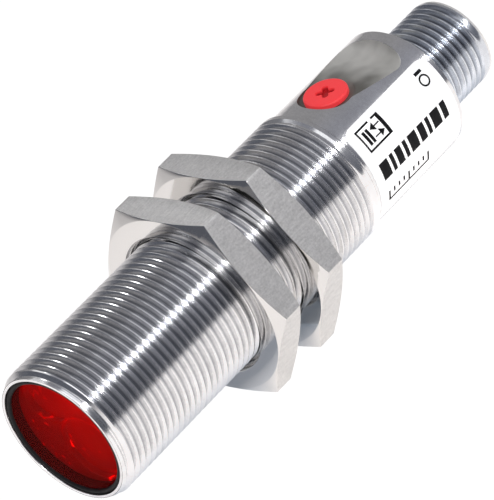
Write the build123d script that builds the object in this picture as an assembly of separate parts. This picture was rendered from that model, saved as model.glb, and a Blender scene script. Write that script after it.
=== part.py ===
from build123d import *
import math
import os

# Cylindrical diffuse photoelectric sensor: M18x1 threaded barrel, M12x1 plug, red sensitivity adjuster.
# Millimetres. Origin at the centre of the front (sensing) face, +Y along the barrel to the plug,
# +Z up through the milled flat and the adjuster.

# ---------------------------------------------------------------- driving dimensions

CLEAR = 0.05  # running clearance on a radius
GAP = 0.02  # clearance between pieces that are assembled and stay put

# barrel
OVERALL = 74.6
SLEEVE_END = 64.8
THREAD_CREST_R = 8.95
THREAD_PITCH = 1.0
THREAD_DEPTH = 0.59
THREAD_START = 1.1
THREAD_END = 47.45
LEAD_R = 8.4
SMOOTH_R = 8.47
REAR_CHAMFER = 0.18
FLANK_ANGLE = 30.0  # half of the 60 degree thread angle

# bores of the barrel, from the front
MOUTH_R = 8.0
MOUTH_BEVEL = 0.05
MOUTH_DEPTH = 1.75
FRONT_BORE_R = 7.5
FRONT_BORE_END = 44.0
REAR_BORE_R = 6.25
FLANGE_SEAT_R = 7.0
FLANGE_SEAT_DEPTH = 1.5

# milled flat: a ramp that deepens towards the plug and runs out in a fillet
RAMP_Y = 53.54
RAMP_Z = 7.76
RAMP_DROP = 0.117  # per mm towards the plug
RAMP_END = 60.7
SCOOP_R = 2.6

# adjuster
KNOB_Y = 53.2
KNOB_HEAD_R = 2.72
KNOB_TOP = 8.27
KNOB_HEAD_H = 0.72
KNOB_EDGE = 0.13
KNOB_SHAFT_R = 1.1
KNOB_COLLAR_R = 1.4
POCKET_R = 3.45
POCKET_FLOOR = 7.4
SEAL_SEAT_R = 1.9
SEAL_SEAT_FLOOR = 6.75
KNOB_SEAL_SECTION = 0.33
KNOB_COLLAR_H = 0.5
CROSS_LENGTH = 2.4
CROSS_WIDTH = 0.62
CROSS_DEPTH = 0.5
CROSS_ANGLE = 39.0

# nuts
NUT_FLATS = 24.0
NUT_HEIGHT = 4.0
NUT_BORE_R = THREAD_CREST_R + CLEAR
NUT_CHAMFER_R = 11.95
NUT_CHAMFER_ANGLE = 21.5
NUT_COUNTERSINK_R = 9.6
FRONT_NUT_Y = 23.72
REAR_NUT_Y = 31.81
FRONT_NUT_TURN = -32.4  # first corner, from +Z towards +X
REAR_NUT_TURN = -33.5

# window and optics
WINDOW_R = 7.4
WINDOW_FACE = 0.3
WINDOW_BACK = 1.7
WINDOW_BEVEL = 0.1
WINDOW_SEAL_FRONT = 0.12
RECEIVER_XZ = (1.96, -2.40)
RECEIVER_LENS_R = 4.15
EMITTER_XZ = (-2.72, 3.33)
EMITTER_LENS_R = 2.95
LENS_RIM = 0.7
LENS_CROWN = 0.55
CARRIER_FRONT = 1.75
LENS_SEAT = 3.2
CARRIER_END = 13.0
CARRIER_R = 7.44
TUNNEL_RIM = 0.5  # how far each lens overlaps the rim of its light tunnel
TUNNEL_EXIT_R = 1.6
BAFFLE_THICK = 0.5
BAFFLE_HOLE_R = 1.7
LAMP_R = 1.5
LAMP_LENGTH = 4.6
LAMP_REACH = 1.0  # how far the lamp's nose reaches into the carrier
DIODE_R = 1.55
DIODE_FLANGE_R = 2.1
DIODE_LENGTH = 3.4
DIODE_REACH = 0.6
LAMP_LEAD_PITCH = 1.4
DIODE_LEAD_PITCH = 1.6
LEAD_RUN = 1.6  # from the package to the bend
LEAD_WIRE_R = 0.22

# electronics
BOARD_THICK = 1.0
BOARD_START = 13.6
BOARD_STEP = 43.0
BOARD_END = 57.0
BOARD_FRONT_WIDTH = 13.2
BOARD_REAR_WIDTH = 11.6
BOARD_NOTCH = 3.2  # how far the notches round the lamp and the photodiode reach behind the carrier
CHIP_STAND_OFF = 0.12
CHIP_CHAMFER = 0.12
LEG_WIDTH = 0.4
FOOT_SIZE = (0.7, 0.15)  # length and thickness
RISER_SIZE = (0.2, 0.6)  # thickness and height
SIGNAL_CHIP = (4.0, 5.0, 1.4)  # width, length, height
DRIVER_CHIP = (4.0, 5.0, 1.4)
TRANSISTOR = (3.4, 3.0, 1.5)
CAPACITOR = (1.25, 2.0, 1.1)
RESISTOR = (0.8, 1.6, 0.45)
INDICATOR = (1.6, 0.8, 0.7)
CHIP_ROW_X = 4.4  # the rows of small components, either side of the board's middle
CAPACITOR_ROWS = (29.0, 35.0)
RESISTOR_ROWS = (21.0, 23.5, 39.5)
TRIMMER_SIZE = 4.4
TRIMMER_HEIGHT = 2.2
ROTOR_R = 1.5
ROTOR_HEIGHT = 0.5
ROTOR_PROUD = 0.1
ROTOR_SLOT = (2.2, 0.5, 0.4)  # length, width, depth allowance
KNOB_BLADE = (2.0, 0.4, 0.4)

# plug
PLUG_CREST_R = 5.87
PLUG_THREAD_DEPTH = 0.6
PLUG_COLLAR = 0.9
PLUG_BORE_R = 4.425
PLUG_REAR_SEAT_R = 5.2
SPIGOT_START = 60.0
SPIGOT_STEP = 61.6
CARRIER_FACE = 65.8
PIN_R = 0.5
PIN_BODY_R = 0.8  # the part of each contact held in the insert
PIN_CIRCLE = 5.5
PIN_END = 73.2
PIN_START = 60.5
WIRE_R = 0.3
PAD_LENGTH = 1.1
POTTING_START = 57.8
POTTING_END = 59.6
PLUG_SEAL_GROOVE = (61.85, 62.85)
PLUG_SEAL_GROOVE_R = 5.5
CARRIER_SEAL_GROOVE = (63.0, 63.8)
CARRIER_SEAL_GROOVE_R = 3.75
KEY_WIDTH = 1.0
KEY_HEIGHT = 0.65
KEY_END = OVERALL - 1.6

# label
LABEL_THICK = 0.08
LABEL_START = 48.35
LABEL_END = 64.05
LABEL_FROM = 40.3  # from +Z towards +X
LABEL_TO = 200.0
LABEL_CORNER = 1.4

BARREL_AXIS = Axis((0, 0, 0), (0, 1, 0))


# ---------------------------------------------------------------- helpers


def turned(points):
    """A solid of revolution about the barrel's axis, from a closed (radius, y) outline."""
    outline = Polyline(*points, close=True)
    return revolve(make_face(outline), axis=BARREL_AXIS)


def rod(radius, start, end, x=0.0, z=0.0):
    """A cylinder along the barrel, from y = start to y = end, centred at (x, z)."""
    length = end - start
    return Location((x, start + length / 2, z), (90, 0, 0)) * Cylinder(radius, length)


def upright(radius, bottom, top, x=0.0, y=0.0):
    """A cylinder along Z."""
    height = top - bottom
    return Pos(x, y, bottom + height / 2) * Cylinder(radius, height)


def block(x_size, y_size, z_size, x, y, z):
    return Pos(x, y, z) * Box(x_size, y_size, z_size)


def o_ring(radius, section_r, y):
    """An O-ring round the barrel's axis."""
    return Location((0, y, 0), (90, 0, 0)) * Torus(radius, section_r)


def thread_outline(crest, depth, start, end, pitch):
    """(radius, y) points of annular 60 degree ridges, from the first crest to the last."""
    flank = depth * math.tan(math.radians(FLANK_ANGLE))
    crest_flat = pitch / 8
    root_flat = pitch - crest_flat - 2 * flank
    count = int((end - start - crest_flat) / pitch)
    points = []
    for index in range(count):
        y = start + index * pitch
        points.append((crest, y))
        points.append((crest, y + crest_flat))
        points.append((crest - depth, y + crest_flat + flank))
        points.append((crest - depth, y + crest_flat + flank + root_flat))
    last = start + count * pitch
    points.append((crest, last))
    return points


def save(node, shape):
    """Write one node: a single solid, or a group of solids."""
    solids = shape.solids() if hasattr(shape, "solids") else [s for part in shape for s in part.solids()]
    item = solids[0] if len(solids) == 1 else Compound(children=solids)
    item.label = node
    export_step(item, f"parts/{node}.step")


# ---------------------------------------------------------------- barrel


def ramp_height(y):
    return RAMP_Z - RAMP_DROP * (y - RAMP_Y)


def flat_cutter():
    """The ramp and its run-out fillet, limited at the front by the adjuster's round pocket."""
    above = SMOOTH_R + 2.0
    low = ramp_height(RAMP_END)
    centre = (RAMP_END, low + SCOOP_R)
    side = 2 * SMOOTH_R
    front = KNOB_Y - POCKET_R - 1.0
    outline = [
        Line((front, above), (front, ramp_height(front))),
        Line((front, ramp_height(front)), (RAMP_END, low)),
        CenterArc(centre, SCOOP_R, -90, 90),
        Line((RAMP_END + SCOOP_R, low + SCOOP_R), (RAMP_END + SCOOP_R, above)),
        Line((RAMP_END + SCOOP_R, above), (front, above)),
    ]
    profile = make_face(Wire(outline))
    ramp = extrude(Plane.YZ * profile, side, both=True)
    behind = block(2 * side, 20.0, 20.0, 0, KNOB_Y + 10.0, SMOOTH_R)
    nose = upright(POCKET_R, 0.0, above, 0, KNOB_Y)
    pocket = upright(POCKET_R, POCKET_FLOOR, above, 0, KNOB_Y)
    return (ramp & (behind + nose)) + pocket


def housing_sleeve():
    outer = [(MOUTH_R + MOUTH_BEVEL, 0.0), (LEAD_R, 0.0)]
    outer += thread_outline(THREAD_CREST_R, THREAD_DEPTH, THREAD_START, THREAD_END, THREAD_PITCH)
    outer += [
        (THREAD_CREST_R, THREAD_END),
        (SMOOTH_R, THREAD_END + THREAD_CREST_R - SMOOTH_R),
        (SMOOTH_R, SLEEVE_END - REAR_CHAMFER),
        (SMOOTH_R - REAR_CHAMFER, SLEEVE_END),
    ]
    bore = [
        (FLANGE_SEAT_R, SLEEVE_END),
        (FLANGE_SEAT_R, SLEEVE_END - FLANGE_SEAT_DEPTH),
        (REAR_BORE_R, SLEEVE_END - FLANGE_SEAT_DEPTH),
        (REAR_BORE_R, FRONT_BORE_END),
        (FRONT_BORE_R, FRONT_BORE_END),
        (FRONT_BORE_R, MOUTH_DEPTH),
        (MOUTH_R, MOUTH_DEPTH),
        (MOUTH_R, 3 * MOUTH_BEVEL),
    ]
    sleeve = turned(outer + bore)
    sleeve -= flat_cutter()
    sleeve -= upright(KNOB_SHAFT_R + CLEAR, 0.0, SMOOTH_R, 0, KNOB_Y)
    sleeve -= upright(SEAL_SEAT_R, SEAL_SEAT_FLOOR, SMOOTH_R, 0, KNOB_Y)
    return sleeve


def nut(front, first_corner):
    """A hexagon nut with its front face at y = front and its first corner turned from +Z to +X."""
    corner_r = NUT_FLATS / 2 / math.cos(math.radians(30))
    middle = front + NUT_HEIGHT / 2
    corners = []
    for index in range(6):
        angle = math.radians(first_corner + 60 * index)
        corners.append((corner_r * math.sin(angle), corner_r * math.cos(angle)))
    hexagon = make_face(Polyline(*corners, close=True))
    # a plane whose local x and y are the object's X and Z
    plane = Plane(origin=(0, middle, 0), x_dir=(1, 0, 0), z_dir=(0, -1, 0))
    prism = extrude(plane * hexagon, NUT_HEIGHT / 2, both=True)
    wide = corner_r + 1.0
    slope = math.tan(math.radians(NUT_CHAMFER_ANGLE))
    drop = (wide - NUT_CHAMFER_R) * slope
    back = front + NUT_HEIGHT
    envelope = turned(
        [
            (NUT_BORE_R, front + NUT_COUNTERSINK_R - NUT_BORE_R),
            (NUT_COUNTERSINK_R, front),
            (NUT_CHAMFER_R, front),
            (wide, front + drop),
            (wide, back - drop),
            (NUT_CHAMFER_R, back),
            (NUT_COUNTERSINK_R, back),
            (NUT_BORE_R, back - NUT_COUNTERSINK_R + NUT_BORE_R),
        ]
    )
    return prism & envelope


# ---------------------------------------------------------------- window and optics


def front_window():
    return turned(
        [
            (0.0, WINDOW_FACE),
            (WINDOW_R - WINDOW_BEVEL, WINDOW_FACE),
            (WINDOW_R, WINDOW_FACE + WINDOW_BEVEL),
            (WINDOW_R, MOUTH_DEPTH - GAP),
            (WINDOW_R - 2 * WINDOW_BEVEL, MOUTH_DEPTH - GAP),
            (WINDOW_R - 2 * WINDOW_BEVEL, WINDOW_BACK),
            (0.0, WINDOW_BACK),
        ]
    )


def window_seal():
    inner = WINDOW_R + GAP
    outer = MOUTH_R - GAP
    middle = (inner + outer) / 2
    round_r = (outer - inner) / 2
    outline = [
        Line((inner, MOUTH_DEPTH), (outer, MOUTH_DEPTH)),
        Line((outer, MOUTH_DEPTH), (outer, WINDOW_SEAL_FRONT + round_r)),
        ThreePointArc(
            (outer, WINDOW_SEAL_FRONT + round_r),
            (middle, WINDOW_SEAL_FRONT),
            (inner, WINDOW_SEAL_FRONT + round_r),
        ),
        Line((inner, WINDOW_SEAL_FRONT + round_r), (inner, MOUTH_DEPTH)),
    ]
    return revolve(make_face(Wire(outline)), axis=BARREL_AXIS)


def lens(radius, place):
    """A plano-convex lens with its crown towards the window."""
    x, z = place
    back = LENS_SEAT - GAP
    rim = back - LENS_RIM
    crown = rim - LENS_CROWN
    sphere_r = (radius**2 + LENS_CROWN**2) / (2 * LENS_CROWN)
    blank = rod(radius, crown, back)
    return Pos(x, 0, z) * (blank & (Pos(0, crown + sphere_r, 0) * Sphere(sphere_r)))


def tunnel(front_r, back_r, start, end, place):
    """A tapered light tunnel along Y."""
    x, z = place
    length = end - start
    cone = Cone(front_r, back_r, length)
    return Location((x, start + length / 2, z), (-90, 0, 0)) * cone


def optics_carrier():
    """The holder of both lenses, with a tapered light tunnel behind each."""
    body = rod(CARRIER_R, CARRIER_FRONT, CARRIER_END)
    for place, lens_r in ((RECEIVER_XZ, RECEIVER_LENS_R), (EMITTER_XZ, EMITTER_LENS_R)):
        x, z = place
        body -= rod(lens_r + GAP, CARRIER_FRONT, LENS_SEAT, x, z)
        body -= tunnel(lens_r - TUNNEL_RIM, TUNNEL_EXIT_R, LENS_SEAT, CARRIER_END, place)
    return body


def light_baffle():
    """A thin screen behind the carrier, with one hole for each light path."""
    start = CARRIER_END + GAP
    screen = rod(CARRIER_R, start, start + BAFFLE_THICK)
    for x, z in (RECEIVER_XZ, EMITTER_XZ):
        screen -= rod(BAFFLE_HOLE_R, start, start + BAFFLE_THICK, x, z)
    return screen


def emitter_led():
    """A 3 mm lamp with a domed nose, looking forwards through the baffle."""
    x, z = EMITTER_XZ
    start = CARRIER_END - LAMP_REACH
    nose = Pos(x, start + LAMP_R, z) * Sphere(LAMP_R)
    body = rod(LAMP_R, start + LAMP_R, start + LAMP_LENGTH, x, z)
    return nose + body


def receiver_diode():
    """A flat photodiode package behind the receiver tunnel."""
    x, z = RECEIVER_XZ
    start = CARRIER_END - DIODE_REACH
    end = start + DIODE_LENGTH
    flange_start = CARRIER_END + GAP + BAFFLE_THICK + GAP
    return rod(DIODE_R, start, end, x, z) + rod(DIODE_FLANGE_R, flange_start, end, x, z)


def bent_lead(x, z, start, board_y, board_z):
    """A wire that leaves a package backwards and bends down or up to the board."""
    path = Polyline((x, start, z), (x, board_y, z), (x, board_y, board_z))
    section = Plane(origin=path @ 0, z_dir=path % 0) * Circle(LEAD_WIRE_R)
    return sweep(section, path=path, transition=Transition.ROUND)


def emitter_leads():
    x, z = EMITTER_XZ
    start = CARRIER_END - LAMP_REACH + LAMP_LENGTH + GAP
    surface = BOARD_THICK / 2 + GAP
    half = LAMP_LEAD_PITCH / 2
    return [bent_lead(x + side, z, start, start + LEAD_RUN, surface) for side in (-half, half)]


def receiver_leads():
    x, z = RECEIVER_XZ
    start = CARRIER_END - DIODE_REACH + DIODE_LENGTH + GAP
    surface = -BOARD_THICK / 2 - GAP
    half = DIODE_LEAD_PITCH / 2
    return [bent_lead(x + side, z, start, start + LEAD_RUN, surface) for side in (-half, half)]


# ---------------------------------------------------------------- electronics


def circuit_board():
    front_length = BOARD_STEP - BOARD_START
    rear_length = BOARD_END - BOARD_STEP
    board = block(BOARD_FRONT_WIDTH, front_length, BOARD_THICK, 0, BOARD_START + front_length / 2, 0)
    board += block(BOARD_REAR_WIDTH, rear_length, BOARD_THICK, 0, BOARD_STEP + rear_length / 2, 0)
    # notches that clear the lamp and the photodiode
    for x, z, radius in ((*EMITTER_XZ, LAMP_R), (*RECEIVER_XZ, DIODE_FLANGE_R)):
        reach = radius - abs(z) + BOARD_THICK
        if reach > 0:
            board -= rod(radius + 0.2, BOARD_START, CARRIER_END + BOARD_NOTCH, x, z)
    return board


def chip(size, y, side, legs):
    """A moulded package with legs along its two long edges, in the middle of one side of the board."""
    x_size, y_size, height = size
    base = BOARD_THICK / 2 + GAP
    pitch = y_size / legs
    foot_length, foot_thick = FOOT_SIZE
    riser_thick, riser_height = RISER_SIZE
    blank = block(x_size, y_size, height, 0, y, base + CHIP_STAND_OFF + height / 2)
    shape = chamfer(blank.edges().group_by(Axis.Z)[-1], CHIP_CHAMFER)
    foot_x = x_size / 2 + riser_thick / 2 + foot_length / 2
    riser_x = x_size / 2 + riser_thick / 2
    for index in range(legs):
        leg_y = y - y_size / 2 + (index + 0.5) * pitch
        for sign in (-1, 1):
            foot = block(foot_length, LEG_WIDTH, foot_thick, sign * foot_x, leg_y, foot_thick / 2)
            riser = block(riser_thick, LEG_WIDTH, riser_height, sign * riser_x, leg_y, riser_height / 2)
            shape += Pos(0, 0, base) * (foot + riser)
    return shape if side > 0 else mirror(shape, about=Plane.XY)


def rows_of(ys):
    """Places in two rows on both sides of the board, as (x, y, side)."""
    return [(x, y, side) for side in (-1, 1) for x in (-CHIP_ROW_X, CHIP_ROW_X) for y in ys]


def small_parts(size, places):
    """A group of identical chip components at (x, y, side) places."""
    x_size, y_size, height = size
    level = BOARD_THICK / 2 + GAP + height / 2
    return [block(x_size, y_size, height, x, y, side * level) for x, y, side in places]


def trimmer_body():
    bottom = BOARD_THICK / 2 + GAP
    body = block(TRIMMER_SIZE, TRIMMER_SIZE, TRIMMER_HEIGHT, 0, KNOB_Y, bottom + TRIMMER_HEIGHT / 2)
    top = bottom + TRIMMER_HEIGHT
    body -= upright(ROTOR_R + CLEAR, top - ROTOR_HEIGHT, top, 0, KNOB_Y)
    return body


def trimmer_rotor():
    """The turning disc of the potentiometer, with the slot that the adjuster's blade sits in."""
    bottom = BOARD_THICK / 2 + GAP + TRIMMER_HEIGHT - ROTOR_HEIGHT + GAP
    top = bottom + ROTOR_HEIGHT + ROTOR_PROUD
    disc = upright(ROTOR_R, bottom, top, 0, KNOB_Y)
    return disc - block(*ROTOR_SLOT, 0, KNOB_Y, top - ROTOR_SLOT[2] / 2)


def adjuster_knob():
    head_bottom = KNOB_TOP - KNOB_HEAD_H
    head = upright(KNOB_HEAD_R, head_bottom, KNOB_TOP, 0, KNOB_Y)
    head = chamfer(head.edges().group_by(Axis.Z)[-1], KNOB_EDGE)
    rotor_top = BOARD_THICK / 2 + TRIMMER_HEIGHT + 2 * GAP + ROTOR_PROUD
    shaft = upright(KNOB_SHAFT_R, rotor_top + GAP, head_bottom, 0, KNOB_Y)
    collar_top = REAR_BORE_R - 0.4
    collar = upright(KNOB_COLLAR_R, collar_top - KNOB_COLLAR_H, collar_top, 0, KNOB_Y)
    blade = block(*KNOB_BLADE, 0, KNOB_Y, rotor_top - ROTOR_PROUD)
    knob = head + shaft + collar + blade
    for angle in (CROSS_ANGLE, CROSS_ANGLE + 90):
        slot = SlotOverall(CROSS_LENGTH, CROSS_WIDTH)
        sunk = Location((0, KNOB_Y, KNOB_TOP - CROSS_DEPTH), (0, 0, angle)) * slot
        knob -= extrude(sunk, 2 * CROSS_DEPTH)
    return knob


def knob_seal():
    middle = KNOB_SHAFT_R + CLEAR + GAP + KNOB_SEAL_SECTION
    return Pos(0, KNOB_Y, SEAL_SEAT_FLOOR + KNOB_SEAL_SECTION + GAP) * Torus(middle, KNOB_SEAL_SECTION)


# ---------------------------------------------------------------- plug


def plug_shell():
    thread_start = SLEEVE_END + 0.6
    collar_start = OVERALL - PLUG_COLLAR
    groove_r = PLUG_CREST_R - PLUG_THREAD_DEPTH
    spigot_r = REAR_BORE_R - GAP
    outer = [
        (spigot_r, SPIGOT_START),
        (spigot_r, PLUG_SEAL_GROOVE[0]),
        (PLUG_SEAL_GROOVE_R, PLUG_SEAL_GROOVE[0]),
        (PLUG_SEAL_GROOVE_R, PLUG_SEAL_GROOVE[1]),
        (spigot_r, PLUG_SEAL_GROOVE[1]),
        (spigot_r, SLEEVE_END - FLANGE_SEAT_DEPTH),
        (FLANGE_SEAT_R - GAP, SLEEVE_END - FLANGE_SEAT_DEPTH),
        (FLANGE_SEAT_R - GAP, SLEEVE_END),
        (groove_r, SLEEVE_END),
        (groove_r, thread_start - PLUG_THREAD_DEPTH * 0.6),
    ]
    outer += thread_outline(PLUG_CREST_R, PLUG_THREAD_DEPTH, thread_start, collar_start, THREAD_PITCH)
    outer += [
        (PLUG_CREST_R, collar_start),
        (PLUG_CREST_R - 0.07, OVERALL - 0.35),
        (PLUG_CREST_R - 0.35, OVERALL),
    ]
    inner = [
        (PLUG_BORE_R + 0.2, OVERALL),
        (PLUG_BORE_R, OVERALL - 0.3),
        (PLUG_BORE_R, SPIGOT_STEP),
        (PLUG_REAR_SEAT_R, SPIGOT_STEP),
        (PLUG_REAR_SEAT_R, SPIGOT_START),
    ]
    return turned(outer + inner)


def plug_seal():
    section = (REAR_BORE_R - PLUG_SEAL_GROOVE_R) / 2 - GAP
    return o_ring(REAR_BORE_R - GAP - section, section, sum(PLUG_SEAL_GROOVE) / 2)


def carrier_seal():
    section = (PLUG_BORE_R - CARRIER_SEAL_GROOVE_R) / 2 - GAP
    return o_ring(PLUG_BORE_R - GAP - section, section, sum(CARRIER_SEAL_GROOVE) / 2)


def pin_places():
    """The four contacts, at the corners of a square inside the pin circle."""
    reach = PIN_CIRCLE / 2 * math.sqrt(0.5)
    return [(x, z) for x in (-reach, reach) for z in (-reach, reach)]


def contact_carrier():
    insert_r = PLUG_BORE_R - GAP
    flange_r = PLUG_REAR_SEAT_R - GAP
    flange_start = SPIGOT_START + 0.3
    flange_end = SPIGOT_STEP - GAP
    body = turned(
        [
            (0.0, flange_start),
            (flange_r, flange_start),
            (flange_r, flange_end),
            (insert_r, flange_end),
            (insert_r, CARRIER_SEAL_GROOVE[0]),
            (CARRIER_SEAL_GROOVE_R, CARRIER_SEAL_GROOVE[0]),
            (CARRIER_SEAL_GROOVE_R, CARRIER_SEAL_GROOVE[1]),
            (insert_r, CARRIER_SEAL_GROOVE[1]),
            (insert_r, CARRIER_FACE - 0.2),
            (insert_r - 0.2, CARRIER_FACE),
            (0.0, CARRIER_FACE),
        ]
    )
    # the coding key runs along the top of the cavity
    key_start = CARRIER_SEAL_GROOVE[1]
    key_middle = (key_start + KEY_END) / 2
    key = block(KEY_WIDTH, KEY_END - key_start, 2 * KEY_HEIGHT, 0, key_middle, insert_r)
    body += key & rod(insert_r, key_start, KEY_END)
    for x, z in pin_places():
        body -= rod(PIN_BODY_R + GAP, flange_start, CARRIER_FACE, x, z)
    return body


def contact_pins():
    """Round pins with a domed nose and a thicker body in the insert."""
    pins = []
    nose_length = PIN_R * 0.8
    for x, z in pin_places():
        body = rod(PIN_BODY_R, PIN_START, CARRIER_FACE, x, z)
        shank = rod(PIN_R, CARRIER_FACE, PIN_END - nose_length, x, z)
        nose = Pos(x, PIN_END - nose_length, z) * scale(Sphere(PIN_R), by=(1, 0.8, 1))
        pins.append(body + shank + nose)
    return pins


def plug_leads():
    """Four wires from the pads at the board's end to the backs of the contacts."""
    pad_z = BOARD_THICK / 2 + GAP + WIRE_R
    wires = []
    for x, z in pin_places():
        side = 1 if z > 0 else -1
        path = Polyline(
            (x, BOARD_END - PAD_LENGTH, side * pad_z),
            (x, BOARD_END, side * pad_z),
            (x, POTTING_START - 0.1, z),
            (x, PIN_START - GAP, z),
        )
        section = Plane(origin=path @ 0, z_dir=path % 0) * Circle(WIRE_R)
        wires.append(sweep(section, path=path, transition=Transition.ROUND))
    return wires


def potting_disc():
    disc = rod(REAR_BORE_R - GAP, POTTING_START, POTTING_END)
    for x, z in pin_places():
        disc -= rod(WIRE_R + GAP, POTTING_START, POTTING_END, x, z)
    return disc


# ---------------------------------------------------------------- label


def label_corner(angle, y, along_angle, along_y):
    """What is cut off one corner of the label; the signs point from the corner into the label."""
    size = LABEL_CORNER
    height = 2.0
    middle = SMOOTH_R
    square = block(size, size, height, along_angle * size / 2, y + along_y * size / 2, middle)
    arc = upright(size, middle - height, middle + height, along_angle * size, y + along_y * size)
    return Rotation(0, angle, 0) * (square - arc)


def type_label():
    """A thin wrapped label with round corners."""
    inner = SMOOTH_R + GAP / 4
    outer = inner + LABEL_THICK
    corners = [(inner, LABEL_START), (outer, LABEL_START), (outer, LABEL_END), (inner, LABEL_END)]
    outline = make_face(Polyline(*corners, close=True))
    # the outline starts at +X, which is 90 degrees round from +Z
    sheet = revolve(outline, axis=BARREL_AXIS, revolution_arc=LABEL_TO - LABEL_FROM)
    sheet = Rotation(0, LABEL_FROM - 90, 0) * sheet
    for angle, along_angle in ((LABEL_FROM, 1), (LABEL_TO, -1)):
        for y, along_y in ((LABEL_START, 1), (LABEL_END, -1)):
            sheet -= label_corner(angle, y, along_angle, along_y)
    return sheet


# ---------------------------------------------------------------- write the nodes


def main():
    os.makedirs("parts", exist_ok=True)
    save("housing_sleeve", housing_sleeve())
    save("front_nut", nut(FRONT_NUT_Y, FRONT_NUT_TURN))
    save("rear_nut", nut(REAR_NUT_Y, REAR_NUT_TURN))
    save("front_window", front_window())
    save("window_seal", window_seal())
    save("emitter_lens", lens(EMITTER_LENS_R, EMITTER_XZ))
    save("receiver_lens", lens(RECEIVER_LENS_R, RECEIVER_XZ))
    save("optics_carrier", optics_carrier())
    save("light_baffle", light_baffle())
    save("emitter_led", emitter_led())
    save("emitter_leads", emitter_leads())
    save("receiver_diode", receiver_diode())
    save("receiver_leads", receiver_leads())
    save("circuit_board", circuit_board())
    save("signal_chip", chip(SIGNAL_CHIP, y=24.0, side=1, legs=4))
    save("driver_chip", chip(DRIVER_CHIP, y=33.0, side=-1, legs=4))
    save("output_transistor", chip(TRANSISTOR, y=40.0, side=1, legs=3))
    save("capacitors", small_parts(CAPACITOR, rows_of(CAPACITOR_ROWS)))
    save("resistors", small_parts(RESISTOR, rows_of(RESISTOR_ROWS)))
    save("indicator_led", small_parts(INDICATOR, [(0, BOARD_END - INDICATOR[1], -1)]))
    save("trimmer_body", trimmer_body())
    save("trimmer_rotor", trimmer_rotor())
    save("adjuster_knob", adjuster_knob())
    save("knob_seal", knob_seal())
    save("plug_shell", plug_shell())
    save("plug_seal", plug_seal())
    save("contact_carrier", contact_carrier())
    save("carrier_seal", carrier_seal())
    save("contact_pins", contact_pins())
    save("plug_leads", plug_leads())
    save("potting_disc", potting_disc())
    save("type_label", type_label())


main()
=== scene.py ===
import math

import bmesh
import bpy
from mathutils import Matrix, Vector


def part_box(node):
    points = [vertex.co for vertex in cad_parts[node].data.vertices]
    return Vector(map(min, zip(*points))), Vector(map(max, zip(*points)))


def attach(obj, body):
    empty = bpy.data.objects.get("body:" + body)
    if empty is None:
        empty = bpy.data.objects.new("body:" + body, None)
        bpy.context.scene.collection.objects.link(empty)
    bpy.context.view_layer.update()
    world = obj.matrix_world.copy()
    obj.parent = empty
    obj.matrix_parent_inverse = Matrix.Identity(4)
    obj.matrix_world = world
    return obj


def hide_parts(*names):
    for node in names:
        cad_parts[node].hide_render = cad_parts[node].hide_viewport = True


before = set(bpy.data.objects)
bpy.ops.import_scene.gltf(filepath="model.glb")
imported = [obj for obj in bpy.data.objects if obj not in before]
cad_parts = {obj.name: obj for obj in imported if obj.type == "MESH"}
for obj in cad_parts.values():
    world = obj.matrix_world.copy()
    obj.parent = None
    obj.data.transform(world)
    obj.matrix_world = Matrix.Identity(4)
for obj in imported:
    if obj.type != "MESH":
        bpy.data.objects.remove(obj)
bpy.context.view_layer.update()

# Looks of a cylindrical photoelectric sensor. Blender works in metres; sizes below are in millimetres
# in the frame of the CAD model: +Y along the barrel from the sensing face, +Z up through the flat.

MM = 0.001


def box_mm(node):
    """Lowest and highest corner of a CAD node, in millimetres."""
    low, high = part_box(node)
    return low / MM, high / MM


# ---------------------------------------------------------------- sizes

SLEEVE_HIGH = box_mm("housing_sleeve")[1]
PLUG_LOW, PLUG_HIGH = box_mm("plug_shell")
KNOB_LOW, KNOB_HIGH = box_mm("adjuster_knob")
WINDOW_LOW, WINDOW_HIGH = box_mm("front_window")
LABEL_LOW, LABEL_HIGH = box_mm("type_label")

COLUMNS = 216  # segments round the barrel and the nuts; a multiple of six
PITCH = 1.0

# barrel
CREST_R = SLEEVE_HIGH.x
THREAD_DEPTH = 0.59
THREAD_START = 1.1
THREAD_END = 47.45
THREAD_RUNOUT = 0.9  # turns over which the last groove fades
LEAD_R = 8.4
SMOOTH_R = 8.47
SLEEVE_END = SLEEVE_HIGH.y
REAR_CHAMFER = 0.18
MOUTH_R = 8.0
MOUTH_EDGE_R = 8.05
MOUTH_BEVEL_DEPTH = 0.15
MOUTH_DEPTH = 1.75
FRONT_BORE_R = 7.5
FRONT_BORE_END = 44.0
REAR_BORE_R = 6.25
FLANGE_SEAT_R = 7.0
FLANGE_SEAT_DEPTH = 1.5

# milled flat and pocket
RAMP_Y = 53.54
RAMP_Z = 7.76
RAMP_DROP = 0.117
RAMP_END = 60.7
SCOOP_R = 2.6
POCKET_R = 3.45
POCKET_FLOOR = 7.4
SEAL_SEAT_R = 1.9
SEAL_SEAT_FLOOR = 6.75

# adjuster
KNOB_R = KNOB_HIGH.x
KNOB_TOP = KNOB_HIGH.z
KNOB_Y = (KNOB_LOW.y + KNOB_HIGH.y) / 2
KNOB_HEAD_H = 0.72
KNOB_EDGE = 0.30
KNOB_SHAFT_R = 1.1
CROSS_ANGLE = 39.0
CROSS_DEPTH = 0.5

# nuts
NUT_FLATS = 24.0
NUT_BORE_R = 9.0
NUT_COUNTERSINK_R = 9.6
NUT_CHAMFER_R = 11.95
NUT_CHAMFER_SLOPE = math.tan(math.radians(21.5))
NUT_EDGE = 0.10
NUT_EDGE_ANGLE = 40.0
NUT_SMOOTH_ANGLE = 19.0
NUT_TURNS = {"front_nut": -32.4, "rear_nut": -33.5}

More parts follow.
